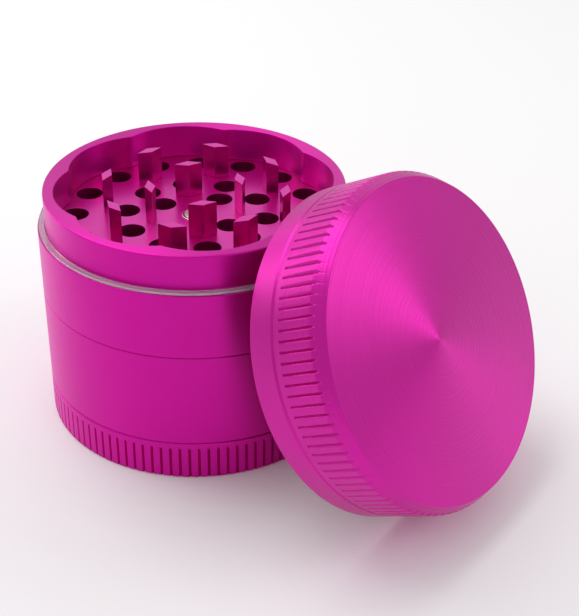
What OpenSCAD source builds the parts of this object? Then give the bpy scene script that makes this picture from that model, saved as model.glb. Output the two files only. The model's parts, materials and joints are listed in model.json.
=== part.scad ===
// Four-piece hand grinder of turned aluminium, standing on its base with the lid off.
// The lid leans beside the stack, its open rim down on the surface that the stack stands on.
// The origin is the centre of the base's underside. +Z is up, and all sizes are millimetres.
//
// From the bottom: catcher, collector with its mesh screen, grinding chamber, and the lid.

/* [Body] */
// Outside diameter of every section and of the lid
body_d = 63; // [60:0.5:66]
// Height of the catcher's outer wall
catcher_h = 8.3; // [8:0.1:9]
// Height of the collector's outer wall, between its two joints
collector_h = 20; // [18:0.5:24]
// Height of the grinding chamber's outer wall, from its joint to the ledge
chamber_h = 13.5; // [13:0.5:16]
// Small chamfer on every outside edge
edge = 0.4; // [0.2:0.1:0.5]

/* [Threaded necks] */
// Outside diameter of the two threaded necks, at the crest
neck_thread_d = 58.1; // [57.8:0.1:58.3]
// Radial clearance of every running fit
running_gap = 0.06; // [0.02:0.01:0.1]
// How far each threaded neck reaches into the section below
thread_len = 3.3; // [3:0.1:3.6]
// Spare depth under the end of each neck
thread_relief = 0.3; // [0.2:0.1:0.5]

/* [Grinding chamber] */
// Outside diameter of the neck that the lid turns on
rim_d = 60; // [59.8:0.1:60.2]
// Height of that neck above the ledge
rim_h = 7.5; // [7:0.1:8]
// Height of the sieve plate's top above the ledge
floor_rise = 0.4; // [0.2:0.1:0.6]
// Thickness of the sieve plate
floor_t = 3.2; // [2.8:0.1:4]
// Number of lobes round the chamber's inside wall
lobes = 8; // [8:1:8]
// Radius of each lobe
lobe_r = 15.5; // [15:0.1:16]
// Distance of each lobe's centre from the axis
lobe_offset = 12.4; // [12:0.1:12.6]
// Diameter of each sieve hole
hole_d = 5.3; // [4.5:0.1:5.4]

/* [Teeth] */
// Length of each diamond tooth, across the radius
tooth_l = 5.7; // [5:0.1:6]
// Width of each diamond tooth, along the radius
tooth_w = 2.2; // [1.8:0.1:2.4]
// Radius of the chamber's outer ring of teeth
outer_teeth_r = 18.2; // [18:0.1:18.4]
// Radius of the chamber's inner ring of teeth
inner_teeth_r = 9; // [8.8:0.1:9.2]
// Radius of the lid's outer ring of teeth
lid_outer_teeth_r = 22.7; // [22.5:0.1:22.8]
// Radius of the lid's inner ring of teeth
lid_inner_teeth_r = 13.6; // [13.4:0.1:13.8]

/* [Lid] */
// Height of the lid
lid_h = 17; // [16.5:0.1:18]
// Thickness of the lid's top plate
lid_plate_t = 4.4; // [4:0.1:5]
// Height of the lid's sloped shoulder
shoulder_h = 2.4; // [1:0.1:2.6]
// Width of the lid's sloped shoulder
shoulder_w = 1.5; // [1:0.1:2]
// Angle of the leaning lid from upright, in degrees
lid_lean = 61.3; // [60.8:0.1:61.8]
// Direction that the leaning lid faces, in degrees from +X
lid_azimuth = -49.7; // [-60:0.1:-40]
// Distance of the leaning lid's open rim from the stack's axis
lid_reach = 43; // [43:0.1:46]

/* [Knurl] */
// Number of grooves round the lid and round the catcher
knurl_n = 105; // [90:1:110]
// Width of each groove
knurl_w = 0.55; // [0.4:0.05:0.7]
// Depth of each groove
knurl_depth = 0.5; // [0.3:0.05:0.6]

/* [Hidden] */
$fn = 96;

anodised = [0.76, 0.03, 0.56];
body_r = body_d / 2;
rim_r = rim_d / 2;
thread_r = neck_thread_d / 2;
socket_r = thread_r + running_gap;
overlap = 1;                          // how far a cutter runs past the face it opens

// Heights of the joints, from the surface up
collector_z = catcher_h;
chamber_z = collector_z + collector_h;
ledge_z = chamber_z + chamber_h;
rim_z = ledge_z + rim_h;
floor_z = ledge_z + floor_rise;

// Catcher bowl
catcher_floor_t = 1.6;
bowl_r = 27.6;
bowl_fillet = 2.4;
catcher_plain = 1.2;                  // smooth band above the knurl

// Collector bore, and the lip that holds the mesh screen
collector_r = 28;
lip_r = 25.6;
lip_top_z = collector_z + 1;
lip_under_z = collector_z - 0.6;
lip_slope = 1.4;                      // rise of the funnel from the lip to the bore
pocket_r = 27.4;
mesh_t = 0.3;
mesh_r = pocket_r - running_gap;
screen_ring_h = 2;
face_gap = 0.04;                      // between faces that slide past each other

// Space under the sieve plate
under_r = 26.9;
plate_seat_r = 28.4;

// Friction ring on the ledge
ring_t = 0.55;
ring_in_r = rim_r + running_gap;
ring_out_r = body_r - 0.25;

// Rings of sieve holes: [number, radius, angle of the first]
hole_rings = [[16, 24.2, 11.25], [10, 14.1, 18], [4, 8.2, 45]];

// Teeth: [number, angle of the first]
outer_teeth = [8, 22.5];
inner_teeth = [4, 0];
lid_outer_teeth = [8, 0];
lid_inner_teeth = [4, 45];
tooth_tip_gap = 0.8;                  // from the lid's teeth up from its open rim

// Magnets
magnet_r = 2.2;
cup_r = 2.9;
cup_depth = 1.6;
cup_well = 1.1;                       // depth of the hollow that holds the magnet
magnet_t = 1;
cup_proud = 0.15;
post_r = 4.2;
post_root_r = 5.2;
post_tip_z = 0.9;                     // above the lid's open rim

// Lid, in its own frame: the open rim at 0, the face at lid_h
skirt_r = rim_r + 0.09;
skirt_depth = rim_h - 0.1;
cavity_r = 28.6;
ceiling_z = lid_h - lid_plate_t;
knurl_low = 7.35;                     // blind end of the knurl's grooves
groove_z = 5.7;                       // fine line turned round the skirt
groove_w = 0.6;
groove_depth = 0.25;
lid_rest_z = body_r * sin(lid_lean) - edge * cos(lid_lean);

// A quarter-round of points about (r, z), from one angle to another
function arc(r, z, radius, from, to, steps = 6) =
    [for (i = [0:steps]) let (a = from + (to - from) * i / steps)
        [r + radius * cos(a), z + radius * sin(a)]];

// Places children round the axis, from a [number, first angle] pair, at a radius
module around(ring, radius) {
    for (i = [0:ring[0] - 1])
        rotate([0, 0, ring[1] + i * 360 / ring[0]])
            translate([radius, 0, 0])
                children();
}

// Moves a piece from the lid's own frame to where the lid leans
module leaning() {
    rotate([0, 0, lid_azimuth])
        translate([lid_reach, 0, lid_rest_z])
            rotate([0, lid_lean, 0])
                children();
}

// Straight grooves cut across a rim, parallel to its axis
module knurl_cuts(low, high) {
    for (i = [0:knurl_n - 1])
        rotate([0, 0, i * 360 / knurl_n])
            translate([body_r - knurl_depth, -knurl_w / 2, low])
                cube([knurl_depth + overlap, knurl_w, high - low]);
}

// One diamond tooth, its long diagonal across the radius
module tooth(h) {
    linear_extrude(height = h)
        polygon([[-tooth_w / 2, 0], [0, -tooth_l / 2], [tooth_w / 2, 0], [0, tooth_l / 2]]);
}

// Steel cup that holds a magnet, open at the top
module magnet_cup() {
    difference() {
        cylinder(h = cup_depth, r = cup_r);
        translate([0, 0, cup_depth - cup_well])
            cylinder(h = cup_well + overlap, r = magnet_r);
    }
}

// Disc magnet in its cup
module magnet_disc() {
    translate([0, 0, cup_depth - cup_well])
        cylinder(h = magnet_t, r = magnet_r);
}

module catcher() color(anodised) {
    difference() {
        rotate_extrude()
            polygon(concat(
                [[0, 0], [body_r - edge, 0], [body_r, edge],
                 [body_r, catcher_h - edge], [body_r - edge, catcher_h], [socket_r, catcher_h],
                 [socket_r, catcher_h - thread_len - thread_relief],
                 [bowl_r, catcher_h - thread_len - thread_relief]],
                arc(bowl_r - bowl_fillet, catcher_floor_t + bowl_fillet, bowl_fillet, 0, -90),
                [[0, catcher_floor_t]]));
        knurl_cuts(-overlap, catcher_h - catcher_plain);
    }
}

module collector() color(anodised) {
    rotate_extrude()
        polygon([
            [thread_r - edge, collector_z - thread_len], [thread_r, collector_z - thread_len + edge],
            [thread_r, collector_z + face_gap], [body_r - edge, collector_z + face_gap],
            [body_r, collector_z + face_gap + edge],
            [body_r, chamber_z - edge / 2], [body_r - edge / 2, chamber_z], [socket_r, chamber_z],
            [socket_r, chamber_z - thread_len - thread_relief],
            [collector_r, chamber_z - thread_len - thread_relief],
            [collector_r, lip_top_z + lip_slope], [lip_r, lip_top_z], [lip_r, lip_under_z],
            [pocket_r, lip_under_z], [pocket_r, collector_z - thread_len]]);
}

module mesh_screen() color("silver") {
    translate([0, 0, lip_under_z - mesh_t])
        cylinder(h = mesh_t, r = mesh_r);
}

module screen_ring() color("silver") {
    translate([0, 0, lip_under_z - mesh_t - face_gap - screen_ring_h])
        difference() {
            cylinder(h = screen_ring_h, r = pocket_r - running_gap);
            translate([0, 0, -overlap])
                cylinder(h = screen_ring_h + 2 * overlap, r = lip_r);
        }
}

module friction_ring() color([0.92, 0.85, 0.92, 0.5]) {
    translate([0, 0, ledge_z + face_gap])
        difference() {
            cylinder(h = ring_t, r = ring_out_r);
            translate([0, 0, -overlap])
                cylinder(h = ring_t + 2 * overlap, r = ring_in_r);
        }
}

// The lobed hollow, from the sieve plate up
module lobed_hollow() {
    translate([0, 0, floor_z])
        linear_extrude(height = rim_h + overlap)
            for (i = [0:lobes - 1])
                rotate([0, 0, i * 360 / lobes])
                    translate([lobe_offset, 0])
                        circle(r = lobe_r);
}

module chamber() color(anodised) {
    difference() {
        rotate_extrude()
            polygon([
                [under_r, chamber_z - thread_len], [thread_r - edge, chamber_z - thread_len],
                [thread_r, chamber_z - thread_len + edge],
                [thread_r, chamber_z + face_gap], [body_r - edge / 2, chamber_z + face_gap],
                [body_r, chamber_z + face_gap + edge / 2],
                [body_r, ledge_z - edge / 2], [body_r - edge / 2, ledge_z], [rim_r, ledge_z],
                [rim_r, rim_z - edge], [rim_r - edge, rim_z], [0, rim_z],
                [0, floor_z], [plate_seat_r, floor_z], [plate_seat_r, floor_z - floor_t],
                [under_r, floor_z - floor_t]]);
        lobed_hollow();
    }
}

module sieve_plate() color(anodised) {
    difference() {
        translate([0, 0, floor_z - floor_t])
            cylinder(h = floor_t, r = plate_seat_r);
        for (ring = hole_rings)
            around([ring[0], ring[2]], ring[1])
                translate([0, 0, floor_z - floor_t - overlap])
                    cylinder(h = floor_t + 2 * overlap, d = hole_d, $fn = 48);
        translate([0, 0, floor_z + cup_proud - cup_depth])
            cylinder(h = cup_depth + overlap, r = cup_r);
    }
}

module chamber_teeth_outer() color(anodised) {
    around(outer_teeth, outer_teeth_r)
        translate([0, 0, floor_z])
            tooth(rim_z - floor_z);
}

module chamber_teeth_inner() color(anodised) {
    around(inner_teeth, inner_teeth_r)
        translate([0, 0, floor_z])
            tooth(rim_z - floor_z);
}

module chamber_magnet_cup() color("silver") {
    translate([0, 0, floor_z + cup_proud - cup_depth])
        magnet_cup();
}

module chamber_magnet() color("gray") {
    translate([0, 0, floor_z + cup_proud - cup_depth])
        magnet_disc();
}

module lid() color(anodised) leaning() {
    difference() {
        rotate_extrude()
            polygon([
                [skirt_r + edge, 0], [body_r - edge, 0], [body_r, edge],
                [body_r, groove_z - groove_w / 2], [body_r - groove_depth, groove_z],
                [body_r, groove_z + groove_w / 2], [body_r, lid_h - shoulder_h],
                [body_r - shoulder_w, lid_h], [0, lid_h], [0, ceiling_z], [cavity_r, ceiling_z],
                [cavity_r, skirt_depth], [skirt_r, skirt_depth], [skirt_r, edge]]);
        knurl_cuts(knurl_low, lid_h - knurl_depth);
    }
}

module lid_magnet_post() color(anodised) leaning() {
    difference() {
        rotate_extrude()
            polygon([[0, post_tip_z], [post_r - edge, post_tip_z], [post_r, post_tip_z + edge],
                     [post_r, ceiling_z - 2], [post_root_r, ceiling_z - face_gap],
                     [0, ceiling_z - face_gap]]);
        translate([0, 0, post_tip_z - cup_proud - overlap])
            cylinder(h = cup_depth + overlap, r = cup_r);
    }
}

module lid_teeth_outer() color(anodised) leaning() {
    around(lid_outer_teeth, lid_outer_teeth_r)
        translate([0, 0, tooth_tip_gap])
            tooth(ceiling_z - tooth_tip_gap);
}

module lid_teeth_inner() color(anodised) leaning() {
    around(lid_inner_teeth, lid_inner_teeth_r)
        translate([0, 0, tooth_tip_gap])
            tooth(ceiling_z - tooth_tip_gap);
}

module lid_magnet_cup() color("silver") leaning() {
    translate([0, 0, post_tip_z - cup_proud + cup_depth])
        rotate([180, 0, 0])
            magnet_cup();
}

module lid_magnet() color("gray") leaning() {
    translate([0, 0, post_tip_z - cup_proud + cup_depth])
        rotate([180, 0, 0])
            magnet_disc();
}

catcher();
collector();
mesh_screen();
screen_ring();
friction_ring();
chamber();
sieve_plate();
chamber_teeth_outer();
chamber_teeth_inner();
chamber_magnet_cup();
chamber_magnet();
lid();
lid_magnet_post();
lid_teeth_outer();
lid_teeth_inner();
lid_magnet_cup();
lid_magnet();
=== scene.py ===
"""A hand grinder of turned, anodised aluminium, standing in four sections with its lid leaning beside it."""

import json
import math

import bmesh
import bpy
from bpy.props import FloatProperty, FloatVectorProperty, IntProperty, PointerProperty
from mathutils import Matrix, Vector


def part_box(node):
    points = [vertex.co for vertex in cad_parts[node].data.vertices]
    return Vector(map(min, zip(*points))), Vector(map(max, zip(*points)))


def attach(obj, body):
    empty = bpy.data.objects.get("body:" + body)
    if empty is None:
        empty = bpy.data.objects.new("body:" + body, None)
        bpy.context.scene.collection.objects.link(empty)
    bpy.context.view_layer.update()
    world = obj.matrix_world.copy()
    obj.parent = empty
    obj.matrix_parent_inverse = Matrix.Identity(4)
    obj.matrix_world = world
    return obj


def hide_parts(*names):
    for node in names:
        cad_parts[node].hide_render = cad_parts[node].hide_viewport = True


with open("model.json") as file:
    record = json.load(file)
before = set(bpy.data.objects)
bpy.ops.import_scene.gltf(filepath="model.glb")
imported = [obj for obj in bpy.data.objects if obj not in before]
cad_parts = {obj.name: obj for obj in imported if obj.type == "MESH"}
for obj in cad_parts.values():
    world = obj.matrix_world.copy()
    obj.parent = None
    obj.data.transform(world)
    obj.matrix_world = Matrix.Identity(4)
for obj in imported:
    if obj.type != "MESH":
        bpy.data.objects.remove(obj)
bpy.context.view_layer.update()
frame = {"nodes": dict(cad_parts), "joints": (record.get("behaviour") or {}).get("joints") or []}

bl_info = {
    "name": "Turned Hand Grinder",
    "version": (1, 0, 0),
    "blender": (4, 5, 0),
    "location": "3D View > Sidebar > Grinder",
    "description": "Models the finished sections, teeth, screen and lid of a hand grinder",
    "category": "Add Mesh",
}

MM = 0.001
FULL_TURN = 2 * math.pi
WELD = 0.000001                          # vertices closer than this are one
SMOOTH = 192                             # steps round a plain turned piece: a whole number to each lobe
PITCH_STEPS = 14                         # steps round from one knurl groove to the next
SHARP = math.radians(35)                 # an edge that turns by more than this is rounded off
SOCKET_SPARE = 0.3 * MM                  # spare depth under a neck in its socket
THREAD_START = 0.35 * MM                 # from a neck's end to the start of its ridge
THREAD_TURNS = 3
LIP_R = 25.6 * MM                        # bore of the collector's lip, and of the ring below it

# Sizes that the frame gives, in metres
BODY_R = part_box("collector")[1].x
CATCHER_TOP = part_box("catcher")[1].z
NECK_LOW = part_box("collector")[0].z
COLLECTOR_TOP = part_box("collector")[1].z
CHAMBER_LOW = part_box("chamber")[0].z
RIM_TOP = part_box("chamber")[1].z
PLATE_LOW, FLOOR = (corner.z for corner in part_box("sieve_plate"))
PLATE_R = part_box("sieve_plate")[1].x
RING_LOW, RING_TOP = (corner.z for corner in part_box("friction_ring"))
RING_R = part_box("friction_ring")[1].x
MESH_LOW, MESH_TOP = (corner.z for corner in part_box("mesh_screen"))
MESH_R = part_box("mesh_screen")[1].x
SCREEN_RING_LOW, SCREEN_RING_TOP = (corner.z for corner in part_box("screen_ring"))
FACE_GAP = 0.04 * MM                     # between faces that slide past each other
LEDGE = RING_LOW - FACE_GAP

# The lid's own frame: its open rim at 0, its face up its axis
LID_JOINT = next(joint for joint in frame["joints"] if joint["name"] == "lid_turn")
LID_AXIS = Vector(LID_JOINT["axis"])
LID_PLACE = (
    Matrix.Translation(LID_JOINT["pos_m"])
    @ Matrix.Rotation(math.atan2(LID_AXIS.y, LID_AXIS.x), 4, "Z")
    @ Matrix.Rotation(math.acos(LID_AXIS.z), 4, "Y")
)
STACK_PLACE = Matrix.Identity(4)


def lid_heights(node):
    """Lowest and highest point of a node along the lid's own axis."""
    inward = LID_PLACE.inverted()
    heights = [(inward @ vertex.co).z for vertex in frame["nodes"][node].data.vertices]
    return min(heights), max(heights)


LID_TOP = lid_heights("lid")[1]
POST_TIP, POST_ROOT = lid_heights("lid_magnet_post")
CEILING = POST_ROOT + FACE_GAP
TOOTH_TIP = lid_heights("lid_teeth_outer")[0]


def linear(code):
    """Turns an sRGB hex colour into linear red, green and blue."""
    parts = [int(code[i:i + 2], 16) / 255 for i in (1, 3, 5)]
    return tuple(c / 12.92 if c <= 0.04045 else ((c + 0.055) / 1.055) ** 2.4 for c in parts)


# ---------------------------------------------------------------- settings

def length(name, description, millimetres):
    """A length property, in the scene's units."""
    return FloatProperty(name=name, description=description, default=millimetres * MM,
                         min=0, unit="LENGTH", precision=5)


def colour(name, description, code):
    """A colour property, from an sRGB hex value."""
    return FloatVectorProperty(name=name, description=description, default=linear(code),
                               size=3, min=0, max=1, subtype="COLOR")


class GrinderShape(bpy.types.PropertyGroup):
    """Sizes of the turned, milled and knurled details."""

    edge: length("Edge", "Rounding of the small turned edges", 0.2)
    knurl_count: IntProperty(name="Knurl count", description="Grooves round the lid and the catcher",
                             default=105, min=12)
    knurl_depth: length("Knurl depth", "Depth of each groove", 0.5)
    socket_radius: length("Socket radius", "Inside radius of the threaded sockets", 29.11)
    neck_root: length("Neck root", "Radius of the threaded necks between the ridges", 28.75)
    neck_crest: length("Neck crest", "Radius of the threaded necks at the ridges", 29.05)
    thread_pitch: length("Thread pitch", "Rise of the thread in one turn", 0.75)
    rim_radius: length("Rim radius", "Outside radius of the neck that the lid turns on", 30)
    lobe_radius: length("Lobe radius", "Radius of each lobe of the chamber's hollow", 15.5)
    lobe_offset: length("Lobe offset", "Distance of each lobe's centre from the axis", 12.4)
    hole_radius: length("Hole radius", "Radius of each sieve hole", 2.65)
    tooth_length: length("Tooth length", "Length of each diamond tooth, across the radius", 5.7)
    tooth_width: length("Tooth width", "Width of each diamond tooth, along the radius", 2.2)
    magnet_radius: length("Magnet radius", "Radius of the disc magnets", 2.2)
    cup_radius: length("Cup radius", "Outside radius of the magnets' steel cups", 2.9)
    wire_pitch: length("Wire pitch", "Spacing of the screen's wires, coarser than real", 1.1)
    wire_radius: length("Wire radius", "Radius of the screen's wires", 0.075)


class GrinderFinish(bpy.types.PropertyGroup):
    """Colours and surfaces."""

    anodising: colour("Anodising", "Dyed oxide on the aluminium", "#D80CA4")
    steel: colour("Stainless steel", "Wire and ring of the screen", "#C9C8C6")
    nickel: colour("Nickel", "Plating of the magnets and their cups", "#D8D4CB")
    nylon: colour("Nylon", "Clear friction ring", "#FFFBFF")
    turned_roughness: FloatProperty(name="Turned roughness", default=0.42, min=0, max=1,
                                    description="Spread of the gloss on turned faces")
    milled_roughness: FloatProperty(name="Milled roughness", default=0.34, min=0, max=1,
                                    description="Spread of the gloss on milled faces")


class GrinderStudio(bpy.types.PropertyGroup):
    """Camera, lights and floor."""

    camera_place: FloatVectorProperty(name="Camera place", description="Where the camera stands",
                                      default=(-0.03241, -0.22327, 0.15988), size=3, unit="LENGTH")
    pan: FloatProperty(name="Pan", description="Turn of the camera to the right of +Y",
                       default=math.radians(13.134), subtype="ANGLE")
    tilt: FloatProperty(name="Tilt", description="Camera's angle below the horizon",
                        default=math.radians(31.828), subtype="ANGLE")
    roll: FloatProperty(name="Roll", description="Turn of the camera about its own line of sight",
                        default=math.radians(1.014), subtype="ANGLE")
    lens: FloatProperty(name="Lens", description="Focal length on a 36 mm sensor, in millimetres",
                        default=73.4, min=10)
    floor: colour("Floor", "Matt floor that the grinder stands on", "#FCFBFC")
    sky: FloatProperty(name="Sky", description="Brightness of the white room", default=0.62, min=0)
    key: FloatProperty(name="Key light", description="Power of the large light overhead, in watts",
                       default=1.5, min=0)
    back: FloatProperty(name="Back light", description="Power of the light behind the grinder, in watts",
                        default=0.28, min=0)
    lid_light: FloatProperty(name="Lid light", description="Power of the light at the right, in watts",
                             default=0.5, min=0)
    side: FloatProperty(name="Side light", description="Power of the tall light at the left, in watts",
                        default=0.5, min=0)


# ---------------------------------------------------------------- modelling by hand

def begin(name, add, **how):
    """Adds a primitive with nothing else selected, and names it."""
    bpy.ops.object.select_all(action="DESELECT")
    add(**how)
    piece = bpy.context.object
    piece.name = name
    piece.data.name = name
    bpy.ops.object.transform_apply(location=True, rotation=True, scale=True)
    return piece


def edit(piece, kind="VERT"):
    """Opens a piece in edit mode with nothing selected."""
    bpy.context.view_layer.objects.active = piece
    bpy.ops.object.mode_set(mode="EDIT")
    bpy.ops.mesh.select_mode(type=kind)
    bpy.ops.mesh.select_all(action="DESELECT")


def close():
    """Goes back to object mode."""
    bpy.ops.object.mode_set(mode="OBJECT")


def pick(piece, test):
    """Selects the vertices whose place passes a test, and nothing else."""
    mesh = bmesh.from_edit_mesh(piece.data)
    for vertex in mesh.verts:
        vertex.select_set(test(vertex.co))
    mesh.select_flush_mode()
    bmesh.update_edit_mesh(piece.data)


def settle(piece):
    """Welds what touches and turns every face outwards."""
    edit(piece)
    bpy.ops.mesh.select_all(action="SELECT")
    bpy.ops.mesh.remove_doubles(threshold=WELD)
    bpy.ops.mesh.normals_make_consistent(inside=False)
    close()


def apply_modifier(piece, kind, **settings):
    """Gives a piece a modifier with its settings, and applies it."""
    bpy.ops.object.select_all(action="DESELECT")
    piece.select_set(True)
    bpy.context.view_layer.objects.active = piece
    modifier = piece.modifiers.new(kind.title(), kind)
    for setting, value in settings.items():
        setattr(modifier, setting, value)
    bpy.ops.object.modifier_apply(modifier=modifier.name)


def soften(piece, width, steps=2):
    """Rounds the sharp edges of a piece."""
    apply_modifier(piece, "BEVEL", width=width, segments=steps, limit_method="ANGLE",
                   angle_limit=SHARP, use_clamp_overlap=True)


def smooth(piece, degrees=36):
    """Shades round surfaces smooth and keeps the flats flat."""
    bpy.ops.object.select_all(action="DESELECT")
    piece.select_set(True)
    bpy.context.view_layer.objects.active = piece
    bpy.ops.object.shade_smooth_by_angle(angle=math.radians(degrees))
    apply_modifier(piece, "WEIGHTED_NORMAL", keep_sharp=True)


def join(pieces):
    """Joins pieces into the first."""
    bpy.ops.object.select_all(action="DESELECT")
    for piece in pieces:
        piece.select_set(True)
    bpy.context.view_layer.objects.active = pieces[0]
    bpy.ops.object.join()
    return pieces[0]


def cut(piece, cutter):
    """Cuts a solid out of a piece, and throws the cutter away."""
    apply_modifier(piece, "BOOLEAN", object=cutter, operation="DIFFERENCE", solver="EXACT")
    bpy.data.objects.remove(cutter)


def ring_of(piece, count, first):
    """Copies a piece round Z, all in one mesh, starting at an angle in degrees."""
    piece.data.transform(Matrix.Rotation(math.radians(first), 4, "Z"))
    edit(piece)
    bpy.ops.mesh.select_all(action="SELECT")
    bpy.ops.mesh.spin(steps=count, dupli=True, angle=FULL_TURN, center=(0, 0, 0), axis=(0, 0, 1))
    close()
    settle(piece)


def rounded(corners, steps=4):
    """Points of an outline of (radius, height, rounding) corners, in metres, its ends left as they are."""
    points = [Vector(corners[0][:2])]
    for before, corner, after in zip(corners, corners[1:], corners[2:]):
        place = Vector(corner[:2])
        rounding = corner[2] if len(corner) > 2 else 0
        if rounding == 0:
            points.append(place)
            continue
        back = (Vector(before[:2]) - place).normalized()
        ahead = (Vector(after[:2]) - place).normalized()
        half = back.angle(ahead) / 2
        middle = place + (back + ahead).normalized() * rounding / math.sin(half)
        start = place + back * rounding / math.tan(half) - middle
        end = place + ahead * rounding / math.tan(half) - middle
        sweep = start.angle_signed(end)
        for step in range(steps + 1):
            points.append(middle + Matrix.Rotation(-sweep * step / steps, 2) @ start)
    points.append(Vector(corners[-1][:2]))
    return points


def single_vertex(name, x, z):
    """A piece of one vertex, ready to be extruded and spun."""
    piece = begin(name, bpy.ops.mesh.primitive_plane_add, size=MM, location=(x, 0, z))
    edit(piece)
    bpy.ops.mesh.select_all(action="SELECT")
    bpy.ops.mesh.merge(type="CENTER")
    return piece


def turned(name, corners, steps=SMOOTH, sweep=FULL_TURN):
    """Draws an outline point by point and spins it round Z, as on a lathe."""
    outline = rounded(corners)
    piece = single_vertex(name, *outline[0])
    for here, there in zip(outline, outline[1:]):
        step = there - here
        bpy.ops.mesh.extrude_vertices_move(TRANSFORM_OT_translate={"value": (step.x, 0, step.y)})
    bpy.ops.mesh.select_all(action="SELECT")
    bpy.ops.mesh.spin(steps=steps, angle=sweep, center=(0, 0, 0), axis=(0, 0, 1))
    close()
    settle(piece)
    return piece


def knurled(name, corners, count, low, high, nose, depth_at):
    """Turns one groove's share of a wall, presses the groove into it, and copies it round.

    The groove is the track of a cutter with a round nose. It is made of columns of vertices
    that are drawn in towards the axis, and depth_at gives its depth at a height: where the
    cutter runs out of the wall, the groove gets narrow as well as shallow.
    """
    piece = turned(name, corners, PITCH_STEPS, FULL_TURN / count)
    spacing = FULL_TURN * BODY_R / count / PITCH_STEPS
    outline = rounded(corners)
    edit(piece)
    for column in range(1, PITCH_STEPS):
        angle = -FULL_TURN / count * column / PITCH_STEPS      # spin runs clockwise
        toward = Vector((math.cos(angle), math.sin(angle), 0))
        rise = (spacing * (column - PITCH_STEPS // 2)) ** 2 / (2 * nose)
        for height in sorted({point.y for point in outline if low <= point.y <= high}):
            wanted = BODY_R - max(0, depth_at(height) - rise)
            outer = max(point.x for point in outline if point.y == height)
            if outer > wanted:
                pick(piece, lambda co: (co - toward * outer - Vector((0, 0, height))).length < WELD)
                bpy.ops.transform.resize(value=(wanted / outer, wanted / outer, 1),
                                         center_override=(0, 0, 0))
    close()
    ring_of(piece, count, 180 / count)
    return piece


def thread(name, low, shape):
    """A ridge wound round a neck: a small triangle carried round and up by a Screw modifier."""
    depth = shape.neck_crest - shape.neck_root
    piece = begin(name, bpy.ops.mesh.primitive_circle_add, vertices=3, radius=depth,
                  location=(shape.neck_crest - depth, 0, low), rotation=(math.pi / 2, math.pi / 2, 0))
    apply_modifier(piece, "SCREW", angle=FULL_TURN, screw_offset=shape.thread_pitch,
                   iterations=THREAD_TURNS, steps=SMOOTH // 2, render_steps=SMOOTH // 2,
                   use_merge_vertices=True, merge_threshold=WELD)
    edit(piece)
    bpy.ops.mesh.select_all(action="SELECT")
    bpy.ops.mesh.fill_holes(sides=4)
    close()
    settle(piece)
    return piece


def fit(piece, body, nodes, material, place=STACK_PLACE):
    """Puts a finished piece in its place in the frame, gives it its material, hangs it on its body and hides
    the nodes that it stands for.
    """
    piece.data.transform(place)
    piece.data.materials.clear()
    piece.data.materials.append(material)
    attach(piece, body)
    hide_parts(*nodes)


# ---------------------------------------------------------------- materials

def add(tree, kind, links=(), **settings):
    """Adds a node with its settings, and links (socket, source) pairs into it."""
    node = tree.nodes.new(kind)
    for name, value in settings.items():
        if name.startswith("in_"):
            key = name[3:]
            node.inputs[int(key) if key.isdigit() else key.replace("_", " ")].default_value = value
        else:
            setattr(node, name, value)
    for socket, source in links:
        tree.links.new(source, node.inputs[socket])
    return node


def new_material(name):
    """A material with an empty tree, an output and a Principled shader."""
    material = bpy.data.materials.new(name)
    material.use_nodes = True
    tree = material.node_tree
    tree.nodes.clear()
    shader = add(tree, "ShaderNodeBsdfPrincipled")
    add(tree, "ShaderNodeOutputMaterial", [("Surface", shader.outputs["BSDF"])])
    return material, tree, shader


def own_coordinates(tree, place):
    """Object coordinates, moved by a Mapping node into a piece's own frame."""
    source = add(tree, "ShaderNodeTexCoord")
    inward = place.inverted()
    return add(tree, "ShaderNodeMapping", [("Vector", source.outputs["Object"])], vector_type="POINT",
               in_Location=inward.to_translation(), in_Rotation=inward.to_euler())


def lathe_coordinates(tree, place):
    """(radius, height) round a piece's own axis: a pattern on it runs in rings, as a lathe leaves it."""
    own = own_coordinates(tree, place)
    apart = add(tree, "ShaderNodeSeparateXYZ", [("Vector", own.outputs["Vector"])])
    flat = add(tree, "ShaderNodeCombineXYZ", [("X", apart.outputs["X"]), ("Y", apart.outputs["Y"])])
    reach = add(tree, "ShaderNodeVectorMath", [(0, flat.outputs["Vector"])], operation="LENGTH")
    return add(tree, "ShaderNodeCombineXYZ",
               [("X", reach.outputs["Value"]), ("Y", apart.outputs["Z"])])


def cutting_direction(tree, place):
    """The direction round the axis in which the lathe's tool ran, in world space."""
    axis = place.to_3x3() @ Vector((0, 0, 1))
    source = add(tree, "ShaderNodeTexCoord")
    from_axis = add(tree, "ShaderNodeVectorMath", [(0, source.outputs["Object"])],
                    operation="SUBTRACT", in_1=place.to_translation())
    across = add(tree, "ShaderNodeVectorMath", [(1, from_axis.outputs["Vector"])],
                 operation="CROSS_PRODUCT", in_0=axis)
    return add(tree, "ShaderNodeVectorTransform", [("Vector", across.outputs["Vector"])],
               vector_type="VECTOR", convert_from="OBJECT", convert_to="WORLD")


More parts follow.
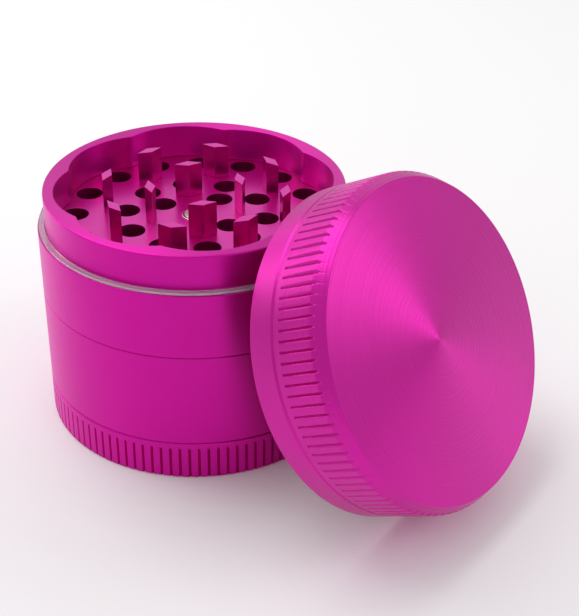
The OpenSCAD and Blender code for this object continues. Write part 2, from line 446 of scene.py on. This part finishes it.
def turned_anodised_aluminium(name, place, finish, ring_depth, ring_lean, oxide):
    """Aluminium turned on a lathe and dyed magenta in a clear oxide.

    The tool's fine rings stretch each highlight across them, which gives a face its bright
    wedge and the walls their soft upright bands, and the oxide lays a paler gloss on top.
    The flanks of the rings on a face lean outwards by an angle, so that the wedge on the
    light's side outshines the one across the centre.
    """
    material, tree, shader = new_material(name)
    rings = lathe_coordinates(tree, place)
    # Rings about 0.5 mm apart: real feed marks are 0.1 mm, too fine to show
    marks = add(tree, "ShaderNodeTexNoise", [("Vector", rings.outputs["Vector"])],
                noise_dimensions="2D", in_Scale=1 / (0.5 * MM), in_Detail=3.0, in_Roughness=0.6)
    # Blasted grain under the dye, about 0.3 mm
    own = own_coordinates(tree, place)
    grain = add(tree, "ShaderNodeTexNoise", [("Vector", own.outputs["Vector"])],
                in_Scale=1 / (0.3 * MM), in_Detail=2.0)
    uneven = add(tree, "ShaderNodeMath", [(0, grain.outputs["Fac"]), (2, marks.outputs["Fac"])],
                 operation="MULTIPLY_ADD", in_1=0.15)
    reach = add(tree, "ShaderNodeSeparateXYZ", [("Vector", rings.outputs["Vector"])])
    height = add(tree, "ShaderNodeMath", [(0, reach.outputs["X"]), (2, uneven.outputs["Value"])],
                 operation="MULTIPLY_ADD", in_1=-math.tan(ring_lean) / ring_depth)
    bump = add(tree, "ShaderNodeBump", [("Height", height.outputs["Value"])],
               in_Strength=1.0, in_Distance=ring_depth)
    # The dye is a little uneven over centimetres, and takes a little less on each ring's crest
    cloud = add(tree, "ShaderNodeTexNoise", [("Vector", own.outputs["Vector"])],
                in_Scale=1 / (14 * MM), in_Detail=2.0)
    uptake = add(tree, "ShaderNodeMixRGB", [(1, cloud.outputs["Fac"]), (2, marks.outputs["Fac"])],
                 in_Fac=0.5)
    dye = add(tree, "ShaderNodeMixRGB", [("Fac", uptake.outputs["Color"])],
              in_Color1=(*[0.88 * part for part in finish.anodising], 1),
              in_Color2=(*[min(1, 1.12 * part) for part in finish.anodising], 1))
    spread = add(tree, "ShaderNodeMapRange", [("Value", marks.outputs["Fac"])],
                 in_3=finish.turned_roughness - 0.05, in_4=finish.turned_roughness + 0.05)
    tangent = cutting_direction(tree, place)
    shader.inputs["Metallic"].default_value = 1.0
    shader.inputs["Anisotropic"].default_value = 0.8
    shader.inputs["Anisotropic Rotation"].default_value = 0.25
    shader.inputs["Coat Weight"].default_value = oxide
    shader.inputs["Coat Roughness"].default_value = 0.28
    tree.links.new(dye.outputs["Color"], shader.inputs["Base Color"])
    tree.links.new(spread.outputs["Result"], shader.inputs["Roughness"])
    tree.links.new(bump.outputs["Normal"], shader.inputs["Normal"])
    tree.links.new(bump.outputs["Normal"], shader.inputs["Coat Normal"])
    tree.links.new(tangent.outputs["Vector"], shader.inputs["Tangent"])
    return material


def milled_anodised_aluminium(name, place, finish):
    """Aluminium milled to shape and dyed magenta: flat, fairly sharp gloss with faint cutter trails."""
    material, tree, shader = new_material(name)
    own = own_coordinates(tree, place)
    # Trails of a small end mill, about 1.2 mm apart
    trails = add(tree, "ShaderNodeTexNoise", [("Vector", own.outputs["Vector"])],
                 in_Scale=1 / (1.2 * MM), in_Detail=3.0, in_Distortion=0.4)
    bump = add(tree, "ShaderNodeBump", [("Height", trails.outputs["Fac"])],
               in_Strength=0.25, in_Distance=0.012 * MM)
    dye = add(tree, "ShaderNodeMixRGB", [("Fac", trails.outputs["Fac"])],
              in_Color1=(*[0.92 * part for part in finish.anodising], 1),
              in_Color2=(*[min(1, 1.08 * part) for part in finish.anodising], 1))
    shader.inputs["Metallic"].default_value = 1.0
    shader.inputs["Roughness"].default_value = finish.milled_roughness
    shader.inputs["Coat Weight"].default_value = 0.45
    shader.inputs["Coat Roughness"].default_value = 0.2
    tree.links.new(dye.outputs["Color"], shader.inputs["Base Color"])
    tree.links.new(bump.outputs["Normal"], shader.inputs["Normal"])
    return material


def nickel_plate(name, place, finish, roughness):
    """Bright nickel over steel: neutral mirror gloss, broken by a barrel-tumbled ripple."""
    material, tree, shader = new_material(name)
    own = own_coordinates(tree, place)
    ripple = add(tree, "ShaderNodeTexNoise", [("Vector", own.outputs["Vector"])],
                 in_Scale=1 / (0.8 * MM), in_Detail=2.0)
    bump = add(tree, "ShaderNodeBump", [("Height", ripple.outputs["Fac"])],
               in_Strength=0.3, in_Distance=0.02 * MM)
    spread = add(tree, "ShaderNodeMapRange", [("Value", ripple.outputs["Fac"])],
                 in_3=roughness - 0.06, in_4=roughness + 0.06)
    shader.inputs["Base Color"].default_value = (*finish.nickel, 1)
    shader.inputs["Metallic"].default_value = 1.0
    tree.links.new(spread.outputs["Result"], shader.inputs["Roughness"])
    tree.links.new(bump.outputs["Normal"], shader.inputs["Normal"])
    return material


def stainless_steel(name, finish):
    """Drawn stainless wire and turned stainless ring: grey, softly glossy, finely streaked."""
    material, tree, shader = new_material(name)
    own = own_coordinates(tree, STACK_PLACE)
    streaks = add(tree, "ShaderNodeTexNoise", [("Vector", own.outputs["Vector"])],
                  in_Scale=1 / (0.6 * MM), in_Detail=3.0)
    spread = add(tree, "ShaderNodeMapRange", [("Value", streaks.outputs["Fac"])], in_3=0.22, in_4=0.4)
    shader.inputs["Base Color"].default_value = (*finish.steel, 1)
    shader.inputs["Metallic"].default_value = 1.0
    tree.links.new(spread.outputs["Result"], shader.inputs["Roughness"])
    return material


def clear_nylon(name, finish):
    """Clear nylon, cut from thin sheet: it passes the magenta below and turns milky at its edges."""
    material, tree, shader = new_material(name)
    own = own_coordinates(tree, STACK_PLACE)
    haze = add(tree, "ShaderNodeTexNoise", [("Vector", own.outputs["Vector"])],
               in_Scale=1 / (5 * MM), in_Detail=2.0)
    spread = add(tree, "ShaderNodeMapRange", [("Value", haze.outputs["Fac"])], in_3=0.04, in_4=0.14)
    shader.inputs["Base Color"].default_value = (*finish.nylon, 1)
    shader.inputs["Transmission Weight"].default_value = 0.82
    shader.inputs["IOR"].default_value = 1.53
    tree.links.new(spread.outputs["Result"], shader.inputs["Roughness"])
    return material


def material_of(key, make):
    """Makes a material the first time that it is asked for."""
    return bpy.data.materials.get(key) or make(key)


def stack_turned(context):
    """Turned finish, centred on the stack."""
    finish = context.scene.grinder_finish
    return material_of("anodised_aluminium_turned_stack",
                       lambda key: turned_anodised_aluminium(key, STACK_PLACE, finish, 0.01 * MM,
                                                             0, 0.18))


def lid_turned(context):
    """Turned finish, centred on the leaning lid."""
    finish = context.scene.grinder_finish
    return material_of("anodised_aluminium_turned_lid",
                       lambda key: turned_anodised_aluminium(key, LID_PLACE, finish, 0.08 * MM,
                                                             math.radians(7), 0.4))


def milled(context):
    """Milled finish of the hollow's floor and of all the teeth."""
    finish = context.scene.grinder_finish
    return material_of("anodised_aluminium_milled",
                       lambda key: milled_anodised_aluminium(key, STACK_PLACE, finish))


# ---------------------------------------------------------------- the pieces

class GRINDER_OT_catcher(bpy.types.Operator):
    """Turn the catcher, the shallow bowl at the bottom, and knurl its wall"""

    bl_idname = "grinder.catcher"
    bl_label = "Catcher"

    def execute(self, context):
        shape = context.scene.grinder_shape
        seat = NECK_LOW - SOCKET_SPARE
        bowl_r = 27.6 * MM
        knurl_top = CATCHER_TOP - 1.2 * MM
        bowl_floor = 1.6 * MM
        corners = [
            (0, 0), (BODY_R, 0, 0.4 * MM),
            (BODY_R, knurl_top - 0.5 * MM), (BODY_R, knurl_top - 0.2 * MM), (BODY_R, knurl_top),
            (BODY_R, CATCHER_TOP, 0.4 * MM),
            (shape.socket_radius, CATCHER_TOP, shape.edge), (shape.socket_radius, seat, 0.1 * MM),
            (bowl_r, seat, shape.edge), (bowl_r, bowl_floor, 2.4 * MM), (0, bowl_floor),
        ]
        piece = knurled("catcher_bowl", corners, shape.knurl_count, 0, knurl_top, 0.05 * MM,
                        lambda z: shape.knurl_depth * min(1, (knurl_top - z) / (0.35 * MM)))
        smooth(piece)
        fit(piece, "base", ["catcher"], stack_turned(context))
        return {"FINISHED"}


class GRINDER_OT_collector(bpy.types.Operator):
    """Turn the collector, with the threaded neck below it and the lip that holds the screen"""

    bl_idname = "grinder.collector"
    bl_label = "Collector"

    def execute(self, context):
        shape = context.scene.grinder_shape
        pocket_r = 27.4 * MM
        bore_r = 28 * MM
        joint = CATCHER_TOP + FACE_GAP
        lip_top = CATCHER_TOP + 1 * MM
        seat = CHAMBER_LOW - SOCKET_SPARE
        corners = [
            (pocket_r, NECK_LOW + 1 * MM), (pocket_r, NECK_LOW, shape.edge),
            (shape.neck_root, NECK_LOW, shape.edge), (shape.neck_root, joint, 0.05 * MM),
            (BODY_R, joint, 0.35 * MM), (BODY_R, COLLECTOR_TOP, 0.2 * MM),
            (shape.socket_radius, COLLECTOR_TOP, shape.edge), (shape.socket_radius, seat, 0.1 * MM),
            (bore_r, seat, shape.edge), (bore_r, lip_top + 1.4 * MM, 0.6 * MM),
            (LIP_R, lip_top, shape.edge), (LIP_R, MESH_TOP, 0.05 * MM), (pocket_r, MESH_TOP, 0.05 * MM),
            (pocket_r, NECK_LOW + 1 * MM),
        ]
        body = turned("collector_body", corners)
        ridge = thread("collector_thread", NECK_LOW + THREAD_START, shape)
        piece = join([body, ridge])
        smooth(piece)
        fit(piece, "collector_section", ["collector"], stack_turned(context))
        return {"FINISHED"}


class GRINDER_OT_screen(bpy.types.Operator):
    """Weave the wire screen and turn the ring that holds it up"""

    bl_idname = "grinder.screen"
    bl_label = "Screen"

    wire_sides = 5
    margin = 0.3 * MM                    # from the screen's edge in to the last crossing

    def weave(self, name, shape, start, lift):
        """Parallel wires along X, each rising and falling in turn with its neighbours."""
        pitch = shape.wire_pitch
        count = 2 * int(MESH_R / pitch) + 1
        span = (count + 1) * pitch
        wires = []
        for side in (0, 1):
            wire = begin(f"{name}_{side}", bpy.ops.mesh.primitive_cylinder_add,
                         vertices=self.wire_sides,
                         radius=shape.wire_radius, depth=span, end_fill_type="NOTHING",
                         rotation=(0, math.pi / 2, 0))
            edit(wire)
            bpy.ops.mesh.select_all(action="SELECT")
            bpy.ops.mesh.select_mode(type="EDGE")
            mesh = bmesh.from_edit_mesh(wire.data)
            for edge in mesh.edges:
                along = abs(edge.verts[0].co.x - edge.verts[1].co.x) > span / 2
                edge.select_set(along)
            bmesh.update_edit_mesh(wire.data)
            bpy.ops.mesh.subdivide(number_cuts=count)
            close()
            edit(wire)
            for crossing in (0, 1):
                pick(wire, lambda co: round(co.x / pitch + 100) % 2 == crossing)
                rise = lift if (crossing + side) % 2 else -lift
                bpy.ops.transform.translate(value=(0, (side - start) * pitch, rise))
            close()
            rows = (count + 1 - side + start) // 2
            apply_modifier(wire, "ARRAY", count=rows, use_relative_offset=False,
                           use_constant_offset=True, constant_offset_displace=(0, 2 * pitch, 0))
            wires.append(wire)
        return join(wires)

    def execute(self, context):
        shape = context.scene.grinder_shape
        pitch = shape.wire_pitch
        lift = shape.wire_radius * 0.95      # crossing wires bite into each other a little
        half_rows = int(MESH_R / pitch)
        along = self.weave("screen_wires_x", shape, half_rows, lift)
        across = self.weave("screen_wires_y", shape, half_rows, -lift)
        across.data.transform(Matrix.Rotation(math.pi / 2, 4, "Z"))
        for wires, vertical in ((along, False), (across, True)):
            edit(wires)
            pick(wires, lambda co, turned_up=vertical: self.outside(co, pitch, turned_up))
            bpy.ops.mesh.delete(type="VERT")
            bpy.ops.mesh.select_all(action="SELECT")
            bpy.ops.mesh.fill_holes(sides=self.wire_sides)
            close()
        piece = join([along, across])
        piece.name = "screen_wires"
        settle(piece)
        piece.data.transform(Matrix.Translation((0, 0, (MESH_LOW + MESH_TOP) / 2)))
        steel = stainless_steel("stainless_steel_drawn", context.scene.grinder_finish)
        smooth(piece, 60)
        fit(piece, "collector_section", ["mesh_screen"], steel)
        low, high = SCREEN_RING_LOW, SCREEN_RING_TOP
        middle = (low + high) / 2
        edge = shape.edge
        ring = turned("screen_retainer", [
            (LIP_R, middle), (LIP_R, low, edge), (MESH_R, low, edge),
            (MESH_R, high, edge), (LIP_R, high, edge), (LIP_R, middle),
        ])
        smooth(ring)
        fit(ring, "collector_lift", ["screen_ring"], steel)
        return {"FINISHED"}

    def outside(self, co, pitch, turned_up):
        """Whether a wire's ring of vertices lies outside the round screen."""
        along, row = (co.y, co.x) if turned_up else (co.x, co.y)
        reach = math.hypot(round(along / pitch) * pitch, round(row / pitch) * pitch)
        return reach > MESH_R - self.margin


class GRINDER_OT_friction_ring(bpy.types.Operator):
    """Make the clear ring that the lid turns on"""

    bl_idname = "grinder.friction_ring"
    bl_label = "Friction ring"

    def execute(self, context):
        shape = context.scene.grinder_shape
        inside = shape.rim_radius + 0.06 * MM
        middle = (RING_LOW + RING_TOP) / 2
        edge = 0.12 * MM
        piece = turned("clear_friction_ring", [
            (inside, middle), (inside, RING_LOW, edge), (RING_R, RING_LOW, edge),
            (RING_R, RING_TOP, edge), (inside, RING_TOP, edge), (inside, middle),
        ])
        smooth(piece)
        nylon = clear_nylon("clear_nylon_sheet", context.scene.grinder_finish)
        fit(piece, "chamber_lift", ["friction_ring"], nylon)
        return {"FINISHED"}


class GRINDER_OT_chamber(bpy.types.Operator):
    """Turn the grinding chamber, mill its lobed hollow and drill its sieve plate"""

    bl_idname = "grinder.chamber"
    bl_label = "Grinding chamber"

    lobes = 8
    hole_rings = ((16, 24.2 * MM, 11.25), (10, 14.1 * MM, 18), (4, 8.2 * MM, 45))

    def lobed_wall(self, shape):
        """The hollow's wall: an arc spun round one lobe's centre, copied round, and drawn down."""
        half = math.pi / self.lobes
        offset, radius = shape.lobe_offset, shape.lobe_radius
        cusp = offset * math.cos(half) + math.sqrt(radius**2 - (offset * math.sin(half))**2)
        swing = math.atan2(cusp * math.sin(half), cusp * math.cos(half) - offset)
        wall = single_vertex("chamber_wall", offset + radius, RIM_TOP)
        close()
        turn = Matrix.Translation((offset, 0, 0)) @ Matrix.Rotation(swing, 4, "Z")   # spin runs clockwise
        wall.data.transform(turn @ Matrix.Translation((-offset, 0, 0)))
        edit(wall)
        bpy.ops.mesh.select_all(action="SELECT")
        bpy.ops.mesh.spin(steps=SMOOTH // self.lobes, angle=2 * swing,
                          center=(offset, 0, RIM_TOP), axis=(0, 0, 1))
        close()
        ring_of(wall, self.lobes, 0)
        edit(wall)
        bpy.ops.mesh.select_all(action="SELECT")
        bpy.ops.mesh.extrude_region_move(TRANSFORM_OT_translate={"value": (0, 0, FLOOR - RIM_TOP)})
        close()
        return wall

    def shell(self, shape):
        """The chamber's ring, from the lobed wall out to the body's wall and down to its neck."""
        under_r = 26.9 * MM
        joint = COLLECTOR_TOP + FACE_GAP
        land = 29.2 * MM
        corners = [
            (PLATE_R, FLOOR), (PLATE_R, PLATE_LOW), (under_r, PLATE_LOW, 0.1 * MM),
            (under_r, CHAMBER_LOW, shape.edge), (shape.neck_root, CHAMBER_LOW, shape.edge),
            (shape.neck_root, joint, 0.05 * MM), (BODY_R, joint, 0.2 * MM), (BODY_R, LEDGE, 0.2 * MM),
            (shape.rim_radius, LEDGE, 0.08 * MM), (shape.rim_radius, RIM_TOP, 0.35 * MM), (land, RIM_TOP),
        ]
        outer = turned("chamber_body", corners)
        piece = join([outer, self.lobed_wall(shape)])
        edit(piece, "EDGE")
        for height in (RIM_TOP, FLOOR):
            bpy.ops.mesh.select_all(action="DESELECT")
            mesh = bmesh.from_edit_mesh(piece.data)
            for edge in mesh.edges:
                level = all(abs(vertex.co.z - height) < WELD for vertex in edge.verts)
                edge.select_set(level and edge.is_boundary)
            bmesh.update_edit_mesh(piece.data)
            bpy.ops.mesh.fill(use_beauty=True)
        close()
        settle(piece)
        soften(piece, 0.18 * MM, 3)
        ridge = thread("chamber_thread", CHAMBER_LOW + THREAD_START, shape)
        piece = join([piece, ridge])
        smooth(piece)
        return piece

    def plate(self, shape):
        """The sieve plate: a disc with its drilled holes and the seat for the magnet's cup."""
        middle = (PLATE_LOW + FLOOR) / 2
        thick = FLOOR - PLATE_LOW
        disc = begin("sieve_floor", bpy.ops.mesh.primitive_cylinder_add, vertices=SMOOTH,
                     radius=PLATE_R, depth=thick, location=(0, 0, middle))
        drills = []
        for count, reach, first in self.hole_rings:
            drill = begin("drill", bpy.ops.mesh.primitive_cylinder_add, vertices=40,
                          radius=shape.hole_radius, depth=3 * thick, location=(reach, 0, middle))
            ring_of(drill, count, first)
            drills.append(drill)
        seat_depth = 1.45 * MM
        drills.append(begin("counterbore", bpy.ops.mesh.primitive_cylinder_add, vertices=48,
                            radius=shape.cup_radius, depth=2 * seat_depth, location=(0, 0, FLOOR)))
        cut(disc, join(drills))
        soften(disc, 0.12 * MM)
        smooth(disc)
        return disc

    def execute(self, context):
        shape = context.scene.grinder_shape
        fit(self.shell(shape), "chamber_section", ["chamber"], stack_turned(context))
        fit(self.plate(shape), "chamber_section", ["sieve_plate"], milled(context))
        return {"FINISHED"}


class GRINDER_OT_teeth(bpy.types.Operator):
    """Mill one diamond tooth for each ring of teeth, and copy it round"""

    bl_idname = "grinder.teeth"
    bl_label = "Teeth"

    def ring(self, name, shape, low, high, reach, count, first):
        """One ring of diamond teeth between two heights."""
        piece = begin(name, bpy.ops.mesh.primitive_cylinder_add, vertices=4, radius=1,
                      depth=high - low, location=(0, 0, (low + high) / 2))
        edit(piece)
        bpy.ops.mesh.select_all(action="SELECT")
        bpy.ops.transform.resize(value=(shape.tooth_width / 2, shape.tooth_length / 2, 1),
                                 center_override=(0, 0, 0))
        bpy.ops.transform.translate(value=(reach, 0, 0))
        close()
        soften(piece, 0.1 * MM)
        ring_of(piece, count, first)
        smooth(piece)
        return piece

    def execute(self, context):
        shape = context.scene.grinder_shape
        for name, node, reach, count, first in (
            ("chamber_teeth_ring_outer", "chamber_teeth_outer", 18.2 * MM, 8, 22.5),
            ("chamber_teeth_ring_inner", "chamber_teeth_inner", 9 * MM, 4, 0),
        ):
            piece = self.ring(name, shape, FLOOR, RIM_TOP, reach, count, first)
            fit(piece, "chamber_section", [node], milled(context))
        for name, node, reach, count, first in (
            ("lid_teeth_ring_outer", "lid_teeth_outer", 22.7 * MM, 8, 0),
            ("lid_teeth_ring_inner", "lid_teeth_inner", 13.6 * MM, 4, 45),
        ):
            piece = self.ring(name, shape, TOOTH_TIP, CEILING, reach, count, first)
            fit(piece, "lid_section", [node], milled(context), LID_PLACE)
        return {"FINISHED"}


class GRINDER_OT_magnets(bpy.types.Operator):
    """Press the two disc magnets and their steel cups"""

    bl_idname = "grinder.magnets"
    bl_label = "Magnets"

    def execute(self, context):
        shape = context.scene.grinder_shape
        finish = context.scene.grinder_finish
        proud, depth, well, thick = 0.15 * MM, 1.6 * MM, 1.1 * MM, 1 * MM
        over = Matrix.Translation((0, 0, FLOOR + proud - depth))
        seat = Matrix.Translation((0, 0, POST_TIP - proud + depth))
        under = LID_PLACE @ seat @ Matrix.Rotation(math.pi, 4, "X")
        for where, body, place in (("chamber", "chamber_section", over), ("lid", "lid_carrier", under)):
            bright = nickel_plate(f"bright_nickel_{where}", place, finish, 0.16)
            dull = nickel_plate(f"dull_nickel_{where}", place, finish, 0.4)
            gap = 0.02 * MM
            cup = turned(f"{where}_steel_cup", [
                (0, 0), (shape.cup_radius, 0, 0.25 * MM), (shape.cup_radius, depth, 0.12 * MM),
                (shape.magnet_radius + gap, depth, 0.12 * MM),
                (shape.magnet_radius + gap, depth - well, 0.05 * MM), (0, depth - well),
            ], 64)
            smooth(cup)
            fit(cup, body, [f"{where}_magnet_cup"], bright, place)
            disc = turned(f"{where}_disc_magnet", [
                (0, depth - well), (shape.magnet_radius, depth - well, 0.1 * MM),
                (shape.magnet_radius, depth - well + thick, 0.15 * MM), (0, depth - well + thick),
            ], 64)
            smooth(disc)
            fit(disc, body, [f"{where}_magnet"], dull, place)
        return {"FINISHED"}


class GRINDER_OT_lid(bpy.types.Operator):
    """Turn and knurl the lid, and turn the post that holds its magnet"""

    bl_idname = "grinder.lid"
    bl_label = "Lid"

    def execute(self, context):
        shape = context.scene.grinder_shape
        skirt_r = shape.rim_radius + 0.09 * MM
        cavity_r = 28.6 * MM
        step = 7.4 * MM
        line, line_half, line_depth = 5.7 * MM, 0.42 * MM, 0.3 * MM
        knurl_low = 7.1 * MM
        shoulder_h, shoulder_w = 2.4 * MM, 1.5 * MM
        run = LID_TOP - shoulder_h - knurl_low
        corners = [
            (0, CEILING), (cavity_r, CEILING, 0.6 * MM), (cavity_r, step, shape.edge),
            (skirt_r, step, 0.1 * MM), (skirt_r, 0, 0.35 * MM), (BODY_R, 0, 0.54 * MM),
            (BODY_R, line - line_half, 0.2 * MM), (BODY_R - line_depth, line, 0.1 * MM),
            (BODY_R, line + line_half, 0.2 * MM),
            *((BODY_R, knurl_low + run * share) for share in (0, 0.015, 0.12, 0.5, 0.9)),
            (BODY_R, LID_TOP - shoulder_h, 0.7 * MM),
            *((BODY_R - shoulder_w * share, LID_TOP - shoulder_h * (1 - share)) for share in (0.25, 0.36)),
            (BODY_R - shoulder_w, LID_TOP, 0.25 * MM), (0, LID_TOP),
        ]
        # The cutter plunges in over the first fortieth of its run, then deepens along the rest
        lid = knurled("turned_lid", corners, shape.knurl_count, knurl_low, LID_TOP, 0.1 * MM,
                      lambda z: shape.knurl_depth * min(1, 40 * (z - knurl_low) / run,
                                                        0.6 + 0.4 * (z - knurl_low) / run))
        smooth(lid)
        fit(lid, "lid_section", ["lid"], lid_turned(context), LID_PLACE)
        post_r = 4.2 * MM
        root_r = 5.2 * MM
        cup_seat = POST_TIP + 1.5 * MM
        post = turned("lid_centre_post", [
            (0, cup_seat), (shape.cup_radius, cup_seat),
            (shape.cup_radius, POST_TIP, 0.05 * MM),
            (post_r, POST_TIP, 0.3 * MM), (post_r, POST_ROOT - 2 * MM, 1 * MM),
            (root_r, POST_ROOT), (0, POST_ROOT),
        ], 96)
        smooth(post)
        fit(post, "lid_carrier", ["lid_magnet_post"], lid_turned(context), LID_PLACE)
        return {"FINISHED"}


class GRINDER_OT_studio(bpy.types.Operator):
    """Lay the pale floor, hang the soft lights and set up the camera"""

    bl_idname = "grinder.studio"
    bl_label = "Studio"

    def light(self, name, place, target, size, power):
        """A large rectangular light that faces a point."""
        data = bpy.data.lights.new(name, "AREA")
        data.shape = "RECTANGLE"
        data.size, data.size_y = size
        data.energy = power
        lamp = bpy.data.objects.new(name, data)
        bpy.context.scene.collection.objects.link(lamp)
        lamp.location = place
        lamp.rotation_euler = (Vector(target) - Vector(place)).to_track_quat("-Z", "Y").to_euler()

    def execute(self, context):
        scene = context.scene
        studio = scene.grinder_studio
        floor = begin("floor", bpy.ops.mesh.primitive_plane_add, size=6, location=(0, 0, -0.05 * MM))
        material, tree, shader = new_material("matt_paper")
        shader.inputs["Base Color"].default_value = (*studio.floor, 1)
        shader.inputs["Roughness"].default_value = 0.9
        floor.data.materials.append(material)

        world = bpy.data.worlds.new("white_room")
        world.use_nodes = True
        backdrop = world.node_tree.nodes["Background"]
        backdrop.inputs["Color"].default_value = (1, 1, 1, 1)
        backdrop.inputs["Strength"].default_value = studio.sky
        scene.world = world
        centre = (0.01, -0.01, 0.03)
        self.light("overhead_softbox", (-0.2, 0.2, 0.6), centre, (0.45, 0.45), studio.key)
        self.light("back_softbox", (0.06, 0.5, 0.4), centre, (0.7, 0.4), studio.back)
        self.light("lid_softbox", (0.6, -0.18, 0.34), centre, (0.24, 0.24), studio.lid_light)
        self.light("left_softbox", (-0.5, 0.4, 0.26), centre, (0.3, 0.4), studio.side)

        data = bpy.data.cameras.new("camera")
        camera = bpy.data.objects.new("camera", data)
        scene.collection.objects.link(camera)
        data.lens = studio.lens
        data.clip_start = 0.01
        upright = Matrix.Rotation(-studio.pan, 4, "Z") @ Matrix.Rotation(math.pi / 2 - studio.tilt, 4, "X")
        camera.matrix_world = (Matrix.Translation(studio.camera_place) @ upright
                               @ Matrix.Rotation(studio.roll, 4, "Z"))
        scene.camera = camera
        scene.view_settings.view_transform = "Standard"
        return {"FINISHED"}


class GRINDER_PT_panel(bpy.types.Panel):
    """Lists the pieces in the order in which they are made"""

    bl_idname = "GRINDER_PT_panel"
    bl_label = "Grinder"
    bl_space_type = "VIEW_3D"
    bl_region_type = "UI"
    bl_category = "Grinder"

    def draw(self, context):
        for operator in OPERATORS:
            self.layout.operator(operator.bl_idname)
        for group in ("grinder_shape", "grinder_finish", "grinder_studio"):
            box = self.layout.box()
            settings = getattr(context.scene, group)
            for name in settings.__annotations__:
                box.prop(settings, name)


OPERATORS = (
    GRINDER_OT_studio,
    GRINDER_OT_catcher,
    GRINDER_OT_collector,
    GRINDER_OT_screen,
    GRINDER_OT_friction_ring,
    GRINDER_OT_chamber,
    GRINDER_OT_teeth,
    GRINDER_OT_magnets,
    GRINDER_OT_lid,
)
CLASSES = (GrinderShape, GrinderFinish, GrinderStudio, *OPERATORS, GRINDER_PT_panel)


def register():
    """Adds the classes, and the settings to the scene."""
    for cls in CLASSES:
        bpy.utils.register_class(cls)
    bpy.types.Scene.grinder_shape = PointerProperty(type=GrinderShape)
    bpy.types.Scene.grinder_finish = PointerProperty(type=GrinderFinish)
    bpy.types.Scene.grinder_studio = PointerProperty(type=GrinderStudio)


def unregister():
    """Takes the settings and the classes away."""
    del bpy.types.Scene.grinder_studio
    del bpy.types.Scene.grinder_finish
    del bpy.types.Scene.grinder_shape
    for cls in reversed(CLASSES):
        bpy.utils.unregister_class(cls)


def main():
    """Makes every piece and the stage."""
    register()
    for operator in OPERATORS:
        group, name = operator.bl_idname.split(".")
        getattr(getattr(bpy.ops, group), name)()


if __name__ == "__main__":
    main()
